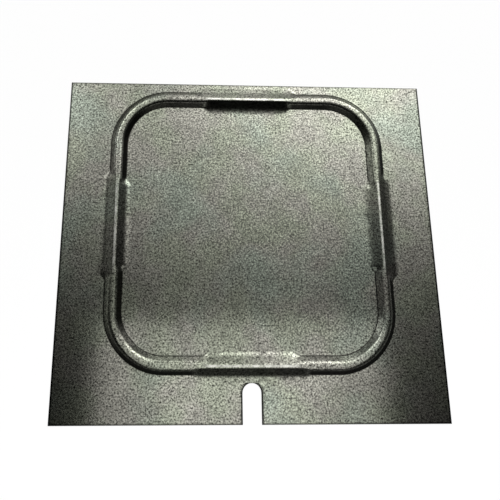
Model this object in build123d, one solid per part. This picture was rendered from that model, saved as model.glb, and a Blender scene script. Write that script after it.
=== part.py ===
from build123d import *

import os
from math import acos, atan2, cos, hypot, pi, sin

# Pressed steel cover plate: one flat sheet, longer across than deep, with a
# hollow stiffening bead pressed up out of it in a rounded square, and an open
# slot in the front edge for the stud that holds it down.
# The bead has tight roots round its corners. At the middle of each side the
# press die was relieved, so there the flanks run out in wide, soft skirts.
# The sheet is as thick in the bead as it is in the flat: the upper and lower
# faces are concentric arcs, one sheet thickness apart.
#
# Millimetres. Origin at the centre of the sheet's outline, on its flat
# underside. +X across the plate, -Y towards the slotted front edge, +Z up.

# Sheet
plate_width = 200.0
plate_depth = 180.0
sheet = 1.0

# Bead, measured on the upper face
bead_outer = 151.2  # across the rounded square, root to root
bead_front_margin = 23.4  # from the front edge of the sheet to the bead
bead_width = 8.6  # across the foot of the bead in its tight stretches
bead_height = 2.7  # crest above the flat
corner_radius = 27.0  # crest line of each corner
crest_flat = 1.4  # narrow land along the crest
shoulder_radius = 2.4  # upper face, from the land to the flank
root_radius = 0.6  # upper face, from the flank to the flat

# Relieved stretch at the middle of each side
skirt_reach = 8.2  # from the crest line to where the skirt meets the flat
skirt_root_radius = 9.0
skirt_crest_flat = 1.2
skirt_shoulder_radius = 2.0
outer_skirt_length = 60.0
inner_skirt_length = 51.0
skirt_runout = 5.0  # length over which a skirt grows to its full reach
skirt_steps = 2  # sections in each run-out

# Slot for the fixing stud
slot_width = 9.5
slot_depth = 19.3

# Worked out from the sizes above
crest_half = (bead_outer - bead_width) / 2  # centre of the ring to a crest line
straight_half = crest_half - corner_radius
ring_centre_y = -plate_depth / 2 + bead_front_margin + bead_outer / 2
tight_reach = bead_width / 2 + root_radius / 2
crest_top = sheet + bead_height
below = 2 * sheet  # how far the cutting solids stand clear of the underside


def blend(low, high, share):
    """Value between low and high, leaving and arriving level."""
    return low + (high - low) * (1 - cos(pi * share)) / 2


def half_profile(share, upper):
    """Edges of one half of the bead's section, from the crest out to the flat.

    share is 0 for the tight form and 1 for the full skirt. The section lies in
    local X (away from the crest line) and Y (up). The flank is the straight
    line that touches the shoulder circle on one side and the root circle on
    the other.
    """
    reach = blend(tight_reach, skirt_reach, share)
    land = blend(crest_flat, skirt_crest_flat, share) / 2
    shoulder = blend(shoulder_radius, skirt_shoulder_radius, share)
    root = blend(root_radius, skirt_root_radius, share)

    shoulder_centre = Vector(land, crest_top - shoulder)
    root_centre = Vector(reach, sheet + root)
    gap = root_centre - shoulder_centre
    lean = atan2(gap.Y, gap.X) + acos((shoulder + root) / hypot(gap.X, gap.Y))
    outward = Vector(cos(lean), sin(lean))
    halfway = Vector(cos((lean + pi / 2) / 2), sin((lean + pi / 2) / 2))

    if not upper:
        shoulder -= sheet
        root += sheet
    crest = shoulder_centre + Vector(0, shoulder)
    flank_top = shoulder_centre + outward * shoulder
    flank_foot = root_centre - outward * root
    flat = root_centre - Vector(0, root)
    return [
        Line((0, crest.Y), crest),
        ThreePointArc(crest, shoulder_centre + halfway * shoulder, flank_top),
        Line(flank_top, flank_foot),
        ThreePointArc(flank_foot, root_centre - halfway * root, flat),
    ]


def half_face(share, upper, place):
    """Closed half section: under the upper face, or down through the hollow."""
    edges = half_profile(share, upper)
    inner_end = edges[0] @ 0
    outer_end = edges[-1] @ 1
    floor = sheet / 2 if upper else -below
    edges += [
        Line(outer_end, (outer_end.X, floor)),
        Line((outer_end.X, floor), (0, floor)),
        Line((0, floor), inner_end),
    ]
    return place * make_face(edges)


def station(run, outer_side):
    """Section plane on the +X side of the ring, run along Y from its middle."""
    away = 1 if outer_side else -1
    return Plane(origin=(crest_half, run, 0), x_dir=(away, 0, 0), z_dir=(0, -away, 0))


def skirt(upper, outer_side):
    """Relieved middle stretch of one half: growing, level, then dying away."""
    half_length = (outer_skirt_length if outer_side else inner_skirt_length) / 2
    level = half_length - skirt_runout
    shares = [step / skirt_steps for step in range(skirt_steps + 1)]
    run_out = loft(
        [half_face(1 - share, upper, station(level + skirt_runout * share, outer_side)) for share in shares]
    )
    middle = extrude(half_face(1, upper, station(-level, outer_side)), 2 * level, dir=(0, 1, 0))
    return middle.fuse(run_out, mirror(run_out, about=Plane.XZ))

def tight_straights(upper, outer_side):
    """The two tight stretches between a skirt and the corners."""
    half_length = (outer_skirt_length if outer_side else inner_skirt_length) / 2
    length = straight_half - half_length
    far = half_face(0, upper, station(half_length, outer_side))
    stretch = extrude(far, length, dir=(0, 1, 0))
    return [stretch, mirror(stretch, about=Plane.XZ)]


def corner(upper, outer_side):
    """Tight section turned a quarter about the corner's centre."""
    start = half_face(0, upper, station(straight_half, outer_side))
    centre = Axis((straight_half, straight_half, 0), (0, 0, 1))
    return revolve(start, centre, 90)


def ring(upper):
    """The whole rounded square: one side and one corner, repeated four times."""
    pieces = []
    for outer_side in (True, False):
        pieces.append(skirt(upper, outer_side))
        pieces += tight_straights(upper, outer_side)
        pieces.append(corner(upper, outer_side))
    quarter = pieces[0].fuse(*pieces[1:])
    turned = [quarter.rotate(Axis.Z, 90 * turn) for turn in range(4)]
    whole = turned[0].fuse(*turned[1:])
    return Pos(0, ring_centre_y, 0) * whole


def flat_sheet():
    """Rectangular blank with the open slot, its inner end a half circle."""
    blank = Rectangle(plate_width, plate_depth)
    front = -plate_depth / 2
    slot_end = front + slot_depth - slot_width / 2
    slot = Pos(0, slot_end) * Circle(slot_width / 2)
    slot += Pos(0, (slot_end + front) / 2) * Rectangle(slot_width, slot_end - front)
    return extrude(blank - slot, sheet)


def cover_plate():
    """Blank with the bead raised on it and hollowed from below."""
    return flat_sheet().fuse(ring(upper=True)).cut(ring(upper=False))


os.makedirs("parts", exist_ok=True)
plate = cover_plate()
export_step(plate, "parts/cover_plate.step")
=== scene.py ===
"""Pressed steel cover plate on a pale floor, seen from above.

The sheet is drawn as one closed surface on a grid. Its columns run round the
bead, from the middle of the back side over the left side to the front and
back over the right side. Its rows run from a pole at the middle of the ring,
over the bead to the sheared outline, down the edge and back along the
underside to a second pole.
"""

import math

import bpy
import numpy as np
from mathutils import Euler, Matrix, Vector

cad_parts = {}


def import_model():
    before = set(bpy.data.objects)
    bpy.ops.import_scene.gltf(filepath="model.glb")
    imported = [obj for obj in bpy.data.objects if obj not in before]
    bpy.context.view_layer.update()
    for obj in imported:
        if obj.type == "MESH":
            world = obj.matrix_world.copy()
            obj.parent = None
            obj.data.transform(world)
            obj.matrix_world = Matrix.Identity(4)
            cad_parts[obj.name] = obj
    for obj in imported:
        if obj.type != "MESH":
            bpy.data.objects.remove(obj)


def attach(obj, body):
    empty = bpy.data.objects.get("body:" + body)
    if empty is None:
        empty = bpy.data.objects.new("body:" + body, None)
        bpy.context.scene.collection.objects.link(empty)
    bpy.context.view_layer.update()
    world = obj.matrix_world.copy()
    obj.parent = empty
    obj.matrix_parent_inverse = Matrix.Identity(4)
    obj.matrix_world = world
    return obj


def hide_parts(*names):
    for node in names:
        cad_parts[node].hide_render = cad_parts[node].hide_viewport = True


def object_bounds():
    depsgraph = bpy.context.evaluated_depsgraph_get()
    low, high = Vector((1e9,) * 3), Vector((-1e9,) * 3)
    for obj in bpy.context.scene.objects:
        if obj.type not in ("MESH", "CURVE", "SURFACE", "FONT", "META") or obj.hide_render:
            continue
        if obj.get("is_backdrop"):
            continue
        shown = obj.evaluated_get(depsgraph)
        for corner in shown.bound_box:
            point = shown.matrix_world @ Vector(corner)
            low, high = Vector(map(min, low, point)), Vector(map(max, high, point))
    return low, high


MM = 0.001

# Sheet, in millimetres. Width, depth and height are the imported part's.
SHEET = 1.0

# Bead, measured on the upper face
BEAD_OUTER = 151.2
BEAD_FRONT_MARGIN = 23.4
BEAD_WIDTH = 8.6
CORNER_RADIUS = 27.0
CREST_FLAT = 0.9
SHOULDER_RADIUS = 3.0
ROOT_RADIUS = 0.6

# Relieved stretch at the middle of each side
SKIRT_REACH = 8.2
SKIRT_ROOT_RADIUS = 9.0
SKIRT_CREST_FLAT = 0.7
SKIRT_SHOULDER_RADIUS = 1.8
OUTER_SKIRT_LENGTH = 60.0
INNER_SKIRT_LENGTH = 51.0
SKIRT_RUNOUT = 5.0

# Slot for the fixing stud
SLOT_WIDTH = 9.5
SLOT_DEPTH = 19.3

# Sheared edge
ROLL_RADIUS = 0.3  # rounding that the punch leaves along the upper edge
BURR_RADIUS = 0.06  # rounding along the lower edge
ROLL_STEPS = 4
BURR_STEPS = 2
DARK_BORDER = 0.9  # strip of the face over which the painted shade along the sheared edge fades out

# Painted shade on the bead: dark where the flanks would reflect a dark room, and in the roots'
# creases
SHELTERED = (0.5, -0.87)  # direction in plan of the flanks that get the most painted shade
FOOT_PAINTED_SHADE = 0.35  # how far the painted shade reaches from a tight root onto the flat
SKIRT_FOOT_SHARE = 0.3  # the same at a skirt, as a share of it

# Grid
HALF_QUARTER_COLUMNS = 90  # from the middle of a side of the bead to a corner's
SLOT_SIDE_COLUMNS = 6
SLOT_ARC_COLUMNS = 12
SLOT_MOUTH_SHARE = 1.9  # bead opposite the slot's mouth, in halves of its width
SLOT_ARC_SHARE = 1.05  # and opposite the start of its half circle
ARC_STEPS = 6  # steps in each arc of the bead's section
INNER_FIELD_ROWS = 9
OUTER_FIELD_ROWS = 7
BAND_REACH = 8.4  # from the crest line to the ends of the bead's own rows

# Finish. Colours are the metal's own, except the painted highlight and the painted shade, and
# scales are noise cells to the metre.
STEEL_ROUGHNESS = 0.22
STEEL_OLIVE = (0.2, 0.212, 0.168, 1)
STEEL_MAUVE = (0.204, 0.201, 0.175, 1)
STEEL_TEAL = (0.188, 0.209, 0.174, 1)
# rubbed line on the crest, brightened to act as a painted highlight
STEEL_RUBBED_HIGHLIGHT = (0.5, 0.5, 0.46, 1)
# painted shade: dark colour for the bead's flanks and roots and along the sheared edge
STEEL_PAINTED_SHADE = (0.006, 0.006, 0.005, 1)
GRAIN_SCALE = 1150
GRAIN_HEIGHT = 0.00005  # metres
WEAR_HIGHLIGHT_SCALE = 260
DRIFT_SCALE = 90
STAIN_SCALE = 38
TEAL_SCALE = 24

# Soft lights of the room. Angle from straight up, angle in plan from +X towards
# +Y and spread, all in degrees, and strength
ROOM_LIGHTS = [
    (13, 0, 8, 0.3),
    (13, 60, 8, 0.4),
    (13, 100, 8, 0.5),
    (24, 108, 8, 0.85),
    (30, 45, 8, 2.8),
    (30, 75, 5, 4.5),
    (36, 132, 6, 6.0),
    (50, 55, 9, 8.0),
    (50, 111, 9, 3.0),
    (66, 36, 9, 2.6),
    (66, 84, 9, 2.6),
    (66, 156, 9, 1.5),
    (30, 150, 7, 0.5),
    (66, -84, 9, 0.1),
]
ROOM_GLOW = 0.01  # from every side
HORIZON_GLOW = 0.5  # all round at the horizon, falling away quickly with height

# Low panels over the front of the plate. Middle and size in millimetres, and
# how bright
FRONT_PANELS = [
    ("front_panel", (5, -112, 100), (110, 84), 1.6),
    ("front_panel_spill", (5, -113, 100), (196, 134), 1.0),
]

FLOOR_HALF = 3.0  # metres
FLOOR_WHITE = 0.95
FLOOR_SEEN_WHITE = 0.93  # share of plain white in what is seen of the floor

CAMERA_PLACE = (-33.96, -29.03, 268.07)
CAMERA_TURN = (13.689, -2.095, 0.176)  # degrees about X, Y and Z
CAMERA_LENS = 36.0
CAMERA_SHIFT = (0.0922, -0.1488)

# Worked out from the sizes above
HALF_SLOT = SLOT_WIDTH / 2
CREST_HALF = (BEAD_OUTER - BEAD_WIDTH) / 2
STRAIGHT_HALF = CREST_HALF - CORNER_RADIUS
TIGHT_REACH = BEAD_WIDTH / 2 + ROOT_RADIUS / 2
CORNER_LENGTH = CORNER_RADIUS * math.pi / 2
QUARTER_LENGTH = 2 * STRAIGHT_HALF + CORNER_LENGTH


# ---------------------------------------------------------------- the sheet

def blend(low, high, share):
    """Value between low and high, leaving and arriving level: half a cosine wave."""
    return low + (high - low) * (1 - np.cos(math.pi * share)) / 2


def quarter_path(distance):
    """Crest line from the middle of one side to the middle of the next.

    A straight stretch up the side at +X, a quarter circle, and a straight
    stretch along the side at +Y. Returns points, outward directions and the
    distance to the nearer middle.
    """
    turn = np.clip((distance - STRAIGHT_HALF) / CORNER_RADIUS, 0, math.pi / 2)
    outward = np.stack([np.cos(turn), np.sin(turn)], -1)
    rise = np.minimum(distance, STRAIGHT_HALF)
    fall = np.maximum(distance - STRAIGHT_HALF - CORNER_LENGTH, 0)
    points = CORNER_RADIUS * outward + np.stack([STRAIGHT_HALF - fall, rise], -1)
    return points, outward, np.minimum(distance, QUARTER_LENGTH - distance)


def quarter_turns(vectors, turns):
    """Vectors turned left by a whole number of quarter turns each."""
    angle = turns * math.pi / 2
    cos, sin = np.cos(angle), np.sin(angle)
    x, y = vectors[:, 0], vectors[:, 1]
    return np.stack([cos * x - sin * y, sin * x + cos * y], -1)


def outline(width, depth):
    """Corner points of the left half of the sheared outline, from the middle of
    the back edge to the start of the slot's half circle, with their distances
    along it."""
    slot_centre = -depth / 2 + SLOT_DEPTH - HALF_SLOT
    corners = np.array([
        (0, depth / 2),
        (-width / 2, depth / 2),
        (-width / 2, -depth / 2),
        (-HALF_SLOT, -depth / 2),
        (-HALF_SLOT, slot_centre),
    ])
    steps = np.linalg.norm(np.diff(corners, axis=0), axis=1)
    return corners, np.concatenate([[0], np.cumsum(steps)])


def outline_points(distance, width, depth):
    """Points of the left half outline and the way out of the metal there.

    On a straight stretch the way out is square to it. At a corner it is the
    mitre of the two stretches, and on the slot's half circle it points to the
    circle's centre.
    """
    corners, marks = outline(width, depth)
    along = np.diff(corners, axis=0)
    along /= np.linalg.norm(along, axis=1)[:, None]
    square = np.stack([along[:, 1], -along[:, 0]], -1)

    straight = np.minimum(distance, marks[-1])
    points = np.stack([np.interp(straight, marks, corners[:, k]) for k in (0, 1)], -1)
    before = np.clip(np.searchsorted(marks, straight - 1e-6) - 1, 0, len(along) - 1)
    after = np.clip(np.searchsorted(marks, straight + 1e-6) - 1, 0, len(along) - 1)
    meet = 1 + np.sum(square[before] * square[after], -1, keepdims=True)
    out = (square[before] + square[after]) / meet

    turn = np.maximum(distance - marks[-1], 0) / HALF_SLOT
    centre = corners[-1] + (HALF_SLOT, 0)
    round_out = np.stack([np.cos(turn), -np.sin(turn)], -1)
    on_arc = (turn > 0)[:, None]
    points = np.where(on_arc, centre - HALF_SLOT * round_out, points)
    return points, np.where(on_arc, round_out, out)


def columns(width, depth):
    """Everything that belongs to a column of the grid.

    Knots pair a distance along the bead with one along the outline, so that
    the outline's corners fall on columns. Between knots both run evenly. The
    right half mirrors the left.
    """
    _, marks = outline(width, depth)
    ring_y = -depth / 2 + BEAD_FRONT_MARGIN + BEAD_OUTER / 2
    ring_knots = [
        0,
        QUARTER_LENGTH / 2,
        QUARTER_LENGTH,
        QUARTER_LENGTH * 3 / 2,
        QUARTER_LENGTH * 2 - SLOT_MOUTH_SHARE * HALF_SLOT,
        QUARTER_LENGTH * 2 - SLOT_ARC_SHARE * HALF_SLOT,
        QUARTER_LENGTH * 2,
    ]
    edge_knots = [
        marks[0],
        marks[1],
        marks[1] + depth / 2 - ring_y,
        marks[2],
        marks[3],
        marks[4],
        marks[4] + HALF_SLOT * math.pi / 2,
    ]
    counts = [
        HALF_QUARTER_COLUMNS,
        HALF_QUARTER_COLUMNS,
        HALF_QUARTER_COLUMNS,
        HALF_QUARTER_COLUMNS - SLOT_SIDE_COLUMNS - SLOT_ARC_COLUMNS,
        SLOT_SIDE_COLUMNS,
        SLOT_ARC_COLUMNS,
    ]
    between = [np.arange(count) / count + knot for knot, count in enumerate(counts)]
    place = np.concatenate([*between, [len(counts)]])
    ring = np.interp(place, np.arange(len(ring_knots)), ring_knots)
    edge = np.interp(place, np.arange(len(edge_knots)), edge_knots)

    turns = np.minimum(ring // QUARTER_LENGTH, 1)
    crest, outward, middle = quarter_path(ring - turns * QUARTER_LENGTH)
    crest = quarter_turns(crest, turns + 1)
    outward = quarter_turns(outward, turns + 1)
    edge_point, edge_out = outline_points(edge, width, depth)

    def both(left):
        return np.concatenate([left, left[-2:0:-1] * (-1, 1)])

    return {
        "crest": both(crest) + (0, ring_y),
        "outward": both(outward),
        "middle": np.concatenate([middle, middle[-2:0:-1]]),
        "edge": both(edge_point),
        "edge_out": both(edge_out),
        "centre": np.array([0, ring_y]),
    }


def skirt_share(cols, length):
    """0 where the section is tight, 1 where the skirt is full: how far each
    column lies inside the skirt's end, over the length of its run-out."""
    return np.clip((length / 2 - cols["middle"]) / SKIRT_RUNOUT, 0, 1)


def half_section(share, rise, upper):
    """One half of the bead's section: reach from the crest line, and height
    above the face of the sheet, for every column and step.

    A land, the shoulder's arc, a straight flank and the root's arc. The flank
    touches both arcs, so it leans by the slope of the line between their
    centres plus the angle whose cosine is the sum of the radii over the
    centres' distance. The lower face has the same centres, and radii that
    differ by the thickness of the sheet.
    """
    share = share[:, None]
    reach = blend(TIGHT_REACH, SKIRT_REACH, share)
    land = blend(CREST_FLAT, SKIRT_CREST_FLAT, share) / 2
    shoulder = blend(SHOULDER_RADIUS, SKIRT_SHOULDER_RADIUS, share)
    root = blend(ROOT_RADIUS, SKIRT_ROOT_RADIUS, share)

    drop = rise - shoulder - root
    across = reach - land
    lean = np.arctan2(-drop, across) + np.arccos((shoulder + root) / np.hypot(drop, across))
    step = np.linspace(0, 1, ARC_STEPS + 1)[None, :]
    over = math.pi / 2 + (lean - math.pi / 2) * step
    under = lean + (math.pi / 2 - lean) * step
    thick = 0 if upper else SHEET
    shoulder_reach = land + (shoulder - thick) * np.cos(over)
    shoulder_rise = rise - shoulder + (shoulder - thick) * np.sin(over)
    root_reach = reach - (root + thick) * np.cos(under)
    root_rise = root - (root + thick) * np.sin(under)
    reach = np.concatenate([0 * land, shoulder_reach, root_reach], axis=1)
    height = np.concatenate([shoulder_rise[:, :1], shoulder_rise, root_rise], axis=1)
    return reach, height


def foot_reach(reach, share):
    """Reach of the row just outside a root, where its painted shade ends."""
    beyond = FOOT_PAINTED_SHADE * blend(1, SKIRT_FOOT_SHARE, share)
    return reach[:, -1:] + beyond[:, None]


def band_rows(cols, rise, upper):
    """Rows over the bead: the section's inner half turned round, its outer
    half, and two flat rows on either side."""
    inner = skirt_share(cols, INNER_SKIRT_LENGTH)
    outer = skirt_share(cols, OUTER_SKIRT_LENGTH)
    inner_reach, inner_height = half_section(inner, rise, upper)
    outer_reach, outer_height = half_section(outer, rise, upper)
    end = np.full((len(inner), 1), BAND_REACH)
    across = np.concatenate([
        -end,
        -foot_reach(inner_reach, inner),
        -inner_reach[:, :0:-1],
        outer_reach,
        foot_reach(outer_reach, outer),
        end,
    ], axis=1)
    flat = np.full((len(inner), 2), inner_height[0, -1])
    height = np.concatenate([flat, inner_height[:, :0:-1], outer_height, flat], axis=1)
    ground = cols["crest"][:, None] + cols["outward"][:, None] * across[..., None]
    return np.concatenate([ground, height[..., None]], axis=-1).transpose(1, 0, 2)


def lifted(ground, height):
    """Plan points with one height each row."""
    height = np.broadcast_to(np.asarray(height, float), ground.shape[:-1])
    return np.concatenate([ground, height[..., None]], axis=-1)


def face_rows(cols, rise, upper):
    """Rows of one face from the ring's middle to just inside the outline:
    evenly out to the bead, over it, evenly out to the dark border, and one at
    the border's outer side."""
    band = band_rows(cols, rise, upper)
    level = band[0, 0, 2]
    share = np.arange(1, INNER_FIELD_ROWS + 1)[:, None, None] / (INNER_FIELD_ROWS + 1)
    inner = cols["centre"] + (band[0, :, :2] - cols["centre"]) * share
    inset = cols["edge"] - cols["edge_out"] * (ROLL_RADIUS if upper else BURR_RADIUS)
    border = inset - cols["edge_out"] * DARK_BORDER
    share = np.arange(1, OUTER_FIELD_ROWS + 1)[:, None, None] / OUTER_FIELD_ROWS
    outer = band[-1, :, :2] + (border - band[-1, :, :2]) * share
    outer = np.concatenate([outer, inset[None]])
    return np.concatenate([lifted(inner, level), band, lifted(outer, level)])


def painted_edge_shade_strength(cols):
    """Painted shade along the sheared edge, standing in for the dark reflection
    of its rounding, strongest along the left and right edges: it grows with how
    far the way out of the metal points to the side."""
    out = cols["edge_out"] / np.linalg.norm(cols["edge_out"], axis=1, keepdims=True)
    return 0.45 + 0.55 * np.abs(out[:, 0])


def bead_painted_shade(cols, side, length):
    """Painted shade over one half of the section, inner for side -1, outer for 1: darkening that
    stands in for dark reflections and shade on the flanks and in the roots.

    Tight flanks are dark where they face the sheltered side, and less so up
    the shoulder, by the square of the way. Tight roots are dark all round. In
    a skirt only the top of the flank is dark, and it fades down the root.
    """
    tight = (1 - skirt_share(cols, length))[:, None] ** 3
    facing = side * (cols["outward"] @ SHELTERED)
    flank = np.interp(facing, [-0.9, 0.3], [0.05, 1])[:, None]
    step = np.linspace(0, 1, ARC_STEPS + 1)

    root = flank + (1 - flank) * np.interp(step, [0, 0.3], [0, 1])
    tight_form = np.concatenate([0 * flank, flank * step**2, root], axis=1)
    top = 0.3 + 0.4 * flank
    fading = np.interp(step, [0, 0.45, 1], [1, 0.15, 0])
    skirt_form = np.concatenate([0 * flank, top * step**2, top * fading], axis=1)
    return tight * tight_form + (1 - tight) * skirt_form


def face_marks(cols):
    """Three marks from 0 to 1 for each vertex of face_rows: painted shade on the bead,
    painted shade along the sheared outline, and the crest's rubbed line at the
    middle of each side, brightened as a painted highlight."""
    inner = bead_painted_shade(cols, -1, INNER_SKIRT_LENGTH)
    outer = bead_painted_shade(cols, 1, OUTER_SKIRT_LENGTH)
    band = np.concatenate([inner[:, :0:-1], outer], axis=1).T
    rows_before = INNER_FIELD_ROWS + 2
    painted_shade = np.pad(band, ((rows_before, OUTER_FIELD_ROWS + 3), (0, 0)))
    painted_edge_shade = np.zeros_like(painted_shade)
    # painted shade along the sheared edge, on the row at the outline
    painted_edge_shade[-1] = painted_edge_shade_strength(cols)

    # rubbed line on the crest, brightened as a painted highlight
    wear_and_highlight = np.zeros_like(painted_shade)
    crest_row = rows_before + len(band) // 2
    share = skirt_share(cols, INNER_SKIRT_LENGTH)
    for away, much in enumerate((1, 1, 0.6)):
        wear_and_highlight[crest_row - away] = share * much
        wear_and_highlight[crest_row + away] = share * much
    return painted_shade, painted_edge_shade, wear_and_highlight


def edge_rows(cols):
    """Rows down the sheared edge: the quarter circle of the punch's roll-over,
    the wall, and the small quarter circle at the underside."""
    roll = np.linspace(0, math.pi / 2, ROLL_STEPS + 1)[1:]
    burr = np.linspace(0, math.pi / 2, BURR_STEPS + 1)[:-1]
    inset = np.concatenate([ROLL_RADIUS * (1 - np.sin(roll)), BURR_RADIUS * (1 - np.cos(burr))])
    drop = np.concatenate([
        -ROLL_RADIUS * (1 - np.cos(roll)),
        -SHEET + BURR_RADIUS * (1 - np.sin(burr)),
    ])
    ground = cols["edge"] - cols["edge_out"] * inset[:, None, None]
    return lifted(ground, drop[:, None])


def wrapped_faces(rows, count):
    """Quads of a grid that closes on itself along each row."""
    corner = np.arange(rows - 1)[:, None] * count + np.arange(count)
    following = np.roll(corner, -1, axis=1)
    return np.stack([corner, corner + count, following + count, following], -1).reshape(-1, 4)


def sheet_mesh(name, width, depth, height):
    """The whole sheet as one closed mesh. Heights are kept from the upper face
    until the end, when the sheet is set on its underside."""
    cols = columns(width, depth)
    rise = height - SHEET
    top = face_rows(cols, rise, upper=True)
    wall = edge_rows(cols)
    bottom = face_rows(cols, rise, upper=False)[::-1]
    grid = np.concatenate([top, wall, bottom])
    rows, count = grid.shape[:2]
    poles = lifted(np.stack([cols["centre"]] * 2), [grid[0, 0, 2], grid[-1, 0, 2]])
    points = np.concatenate([grid.reshape(-1, 3), poles])
    points[:, 2] += SHEET

    # painted shade of the bead and of the sheared edge, and the rubbed crest line that is also a
    # painted highlight
    painted_shade, painted_edge_shade, wear_and_highlight = face_marks(cols)
    unmarked = np.zeros((len(wall), count))
    painted_shade = np.concatenate([painted_shade, unmarked, painted_shade[::-1]])
    # the whole sheared wall gets the painted shade of the edge
    painted_edge_shade = np.concatenate([painted_edge_shade, unmarked + painted_edge_shade_strength(cols), painted_edge_shade[::-1]])
    wear_and_highlight = np.concatenate([wear_and_highlight, unmarked, 0 * wear_and_highlight])

    corner = np.arange(count)
    following = np.roll(corner, -1)
    last = (rows - 1) * count
    top_pole = np.full(count, rows * count)
    top_fan = np.stack([top_pole, corner, following], -1)
    bottom_fan = np.stack([top_pole + 1, last + following, last + corner], -1)
    faces = wrapped_faces(rows, count).tolist() + top_fan.tolist() + bottom_fan.tolist()

    mesh = bpy.data.meshes.new(name)
    mesh.from_pydata((points * MM).tolist(), [], faces)
    mesh.polygons.foreach_set("use_smooth", np.ones(len(faces), bool))
    for title, mark in (("painted_shade", painted_shade), ("painted_edge_shade", painted_edge_shade), ("wear_and_highlight", wear_and_highlight)):
        values = np.concatenate([mark.ravel(), [0, 0]]).astype(np.float32)
        mesh.attributes.new(title, "FLOAT", "POINT").data.foreach_set("value", values)
    mesh.update()
    mesh.validate()
    return mesh


# ------------------------------------------------------------------- finish

class Nodes:
    """Short ways to add and join the nodes of one material or world."""

    def __init__(self, owner):
        owner.use_nodes = True
        self.tree = owner.node_tree

    def put(self, kind, inputs=(), **settings):
        node = self.tree.nodes.new(kind)
        for title, value in settings.items():
            setattr(node, title, value)
        for socket, value in dict(inputs).items():
            self.feed(node.inputs[socket], value)
        return node

    def feed(self, socket, value):
        if isinstance(value, bpy.types.NodeSocket):
            self.tree.links.new(value, socket)
        else:
            socket.default_value = value

    def math(self, operation, *values):
        return self.put("ShaderNodeMath", enumerate(values), operation=operation).outputs[0]

    def noise(self, place, per_metre, detail, roughness=0.5):
        inputs = {"Vector": place, "Scale": per_metre, "Detail": detail, "Roughness": roughness}
        return self.put("ShaderNodeTexNoise", inputs).outputs["Fac"]

    def remap(self, value, low, high, new_low, new_high):
        inputs = {0: value, 1: low, 2: high, 3: new_low, 4: new_high}
        return self.put("ShaderNodeMapRange", inputs).outputs[0]

    def mark(self, name):
        return self.put("ShaderNodeAttribute", attribute_name=name).outputs["Fac"]

    def mix(self, share, first, second, mode="MIX"):
        node = self.put("ShaderNodeMix", data_type="RGBA", blend_type=mode)
        self.feed(node.inputs["Factor"], share)
        self.feed(node.inputs["A"], first)
        self.feed(node.inputs["B"], second)
        return node.outputs["Result"]


def plate_steel():
    """Dark oiled steel. The colour is a stain of olive, mauve and teal times the
    grain and a slow drift. The rubbed line on the crest, brightened as a painted
    highlight, is mixed in over it where noise lets it, then the painted shade of
    the bead, then the painted shade along the sheared edge."""
    material = bpy.data.materials.new("plate_steel")
    nodes = Nodes(material)
    shader = nodes.tree.nodes["Principled BSDF"]
    place = nodes.put("ShaderNodeTexCoord").outputs["Object"]
    grain = nodes.noise(place, GRAIN_SCALE, 2.0, 0.6)
    stain = nodes.noise(place, STAIN_SCALE, 3.0)
    drift = nodes.noise(place, DRIFT_SCALE, 2.0)
    teal = nodes.noise(place, TEAL_SCALE, 2.0)
    worn_highlight = nodes.noise(place, WEAR_HIGHLIGHT_SCALE, 2.0)

    tint = nodes.mix(nodes.remap(stain, 0.42, 0.58, 0, 1), STEEL_OLIVE, STEEL_MAUVE)
    tint = nodes.mix(nodes.remap(teal, 0.5, 0.65, 0, 1), tint, STEEL_TEAL)
    fine = nodes.remap(grain, 0.3, 0.7, 0.05, 1.95)
    level = nodes.math("MULTIPLY", fine, nodes.remap(drift, 0.35, 0.65, 0.92, 1.08))
    grey = nodes.put("ShaderNodeCombineColor", {0: level, 1: level, 2: level}).outputs[0]
    colour = nodes.mix(1.0, tint, grey, "MULTIPLY")

    # rubbed crest line, brightened as a painted highlight
    rubbed_highlight = nodes.math("MULTIPLY", nodes.mark("wear_and_highlight"), nodes.remap(worn_highlight, 0.4, 0.6, 0.3, 1))
    colour = nodes.mix(rubbed_highlight, colour, STEEL_RUBBED_HIGHLIGHT)
    # painted shade on the bead's flanks and roots
    colour = nodes.mix(nodes.math("MULTIPLY", nodes.mark("painted_shade"), 0.96), colour, STEEL_PAINTED_SHADE)
    # painted shade along the sheared edge
    colour = nodes.mix(nodes.remap(nodes.mark("painted_edge_shade"), 0, 0.6, 0, 0.95), colour, STEEL_PAINTED_SHADE)

    nodes.feed(shader.inputs["Base Color"], colour)
    shader.inputs["Metallic"].default_value = 1.0
    shader.inputs["Roughness"].default_value = STEEL_ROUGHNESS
    bump = nodes.put("ShaderNodeBump", {"Height": grain, "Strength": 0.5, "Distance": GRAIN_HEIGHT})
    nodes.feed(shader.inputs["Normal"], bump.outputs[0])
    return material


# -------------------------------------------------------------- surroundings

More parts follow.
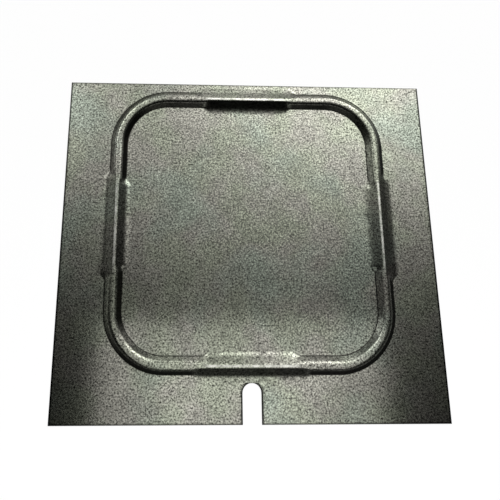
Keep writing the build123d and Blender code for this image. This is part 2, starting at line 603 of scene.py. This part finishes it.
def floor():
    """Pale floor, mixed with plain white where the camera, a gloss or glass
    sees it. The rest of the mix keeps the plate's shadow."""
    half = FLOOR_HALF
    mesh = bpy.data.meshes.new("floor")
    corners = [(-half, -half, 0), (half, -half, 0), (half, half, 0), (-half, half, 0)]
    mesh.from_pydata(corners, [], [(0, 1, 2, 3)])
    material = bpy.data.materials.new("floor")
    nodes = Nodes(material)
    shader = nodes.tree.nodes["Principled BSDF"]
    shader.inputs["Base Color"].default_value = (FLOOR_WHITE, FLOOR_WHITE, FLOOR_WHITE, 1)
    shader.inputs["Roughness"].default_value = 0.9
    rays = nodes.put("ShaderNodeLightPath").outputs
    seen = nodes.math("MAXIMUM", rays["Is Camera Ray"], rays["Is Glossy Ray"])
    seen = nodes.math("MAXIMUM", seen, rays["Is Transmission Ray"])
    share = nodes.math("MULTIPLY", seen, FLOOR_SEEN_WHITE)
    white = nodes.put("ShaderNodeEmission", {"Strength": 1.0}).outputs[0]
    shown = nodes.put("ShaderNodeMixShader", {0: share, 1: shader.outputs[0], 2: white})
    nodes.feed(nodes.tree.nodes["Material Output"].inputs["Surface"], shown.outputs[0])
    mesh.materials.append(material)
    piece = bpy.data.objects.new("floor", mesh)
    bpy.context.scene.collection.objects.link(piece)
    piece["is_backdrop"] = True


def camera():
    data = bpy.data.cameras.new("camera")
    data.lens = CAMERA_LENS
    data.shift_x, data.shift_y = CAMERA_SHIFT
    data.clip_start = 0.01
    piece = bpy.data.objects.new("camera", data)
    piece.location = [place * MM for place in CAMERA_PLACE]
    piece.rotation_euler = Euler([math.radians(turn) for turn in CAMERA_TURN], "XYZ")
    bpy.context.scene.collection.objects.link(piece)
    bpy.context.scene.camera = piece


def room_light():
    """A dim room with soft lights overhead and behind.

    Each light is a bright patch that fades out by its spread, as the
    exponential of how far the cosine of the angle to its middle falls short of
    one. The glow at the horizon falls with the cube of one less the height.
    """
    world = bpy.data.worlds.new("room")
    bpy.context.scene.world = world
    nodes = Nodes(world)
    direction = nodes.put("ShaderNodeTexCoord").outputs["Generated"]
    height = nodes.put("ShaderNodeSeparateXYZ", {0: direction}).outputs["Z"]
    low_down = nodes.math("SUBTRACT", 1.0, nodes.math("MAXIMUM", height, 0.0))
    glow = nodes.math("MULTIPLY", nodes.math("POWER", low_down, 3.0), HORIZON_GLOW)
    total = nodes.math("ADD", glow, ROOM_GLOW)
    for zenith, azimuth, spread, strength in ROOM_LIGHTS:
        zenith, azimuth, spread = map(math.radians, (zenith, azimuth, spread))
        across = math.sin(zenith)
        toward = (across * math.cos(azimuth), across * math.sin(azimuth), math.cos(zenith))
        inputs = {0: direction, 1: toward}
        facing = nodes.put("ShaderNodeVectorMath", inputs, operation="DOT_PRODUCT").outputs["Value"]
        short = nodes.math("SUBTRACT", facing, 1.0)
        patch = nodes.math("EXPONENT", nodes.math("DIVIDE", short, 2 * (1 - math.cos(spread))))
        total = nodes.math("ADD", total, nodes.math("MULTIPLY", patch, strength))
    nodes.feed(nodes.tree.nodes["Background"].inputs["Strength"], total)
    nodes.tree.nodes["Background"].inputs["Color"].default_value = (1, 1, 1, 1)


def front_panels():
    """Low lamps that face down. A lamp's power is its brightness times pi times
    its area."""
    for name, middle, size, brightness in FRONT_PANELS:
        data = bpy.data.lights.new(name, "AREA")
        data.shape = "RECTANGLE"
        data.size, data.size_y = (side * MM for side in size)
        data.energy = brightness * math.pi * data.size * data.size_y
        panel = bpy.data.objects.new(name, data)
        panel.location = [place * MM for place in middle]
        panel.visible_camera = False
        bpy.context.scene.collection.objects.link(panel)


def main():
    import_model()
    low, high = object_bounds()
    width, depth, height = ((high[k] - low[k]) / MM for k in range(3))
    bpy.context.scene.view_settings.view_transform = "Standard"

    camera()
    room_light()
    front_panels()
    floor()

    mesh = sheet_mesh("cover_plate_sheet", width, depth, height)
    mesh.materials.append(plate_steel())
    piece = bpy.data.objects.new("cover_plate_sheet", mesh)
    bpy.context.scene.collection.objects.link(piece)
    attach(piece, "root")
    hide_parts("cover_plate")

    low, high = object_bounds()


main()
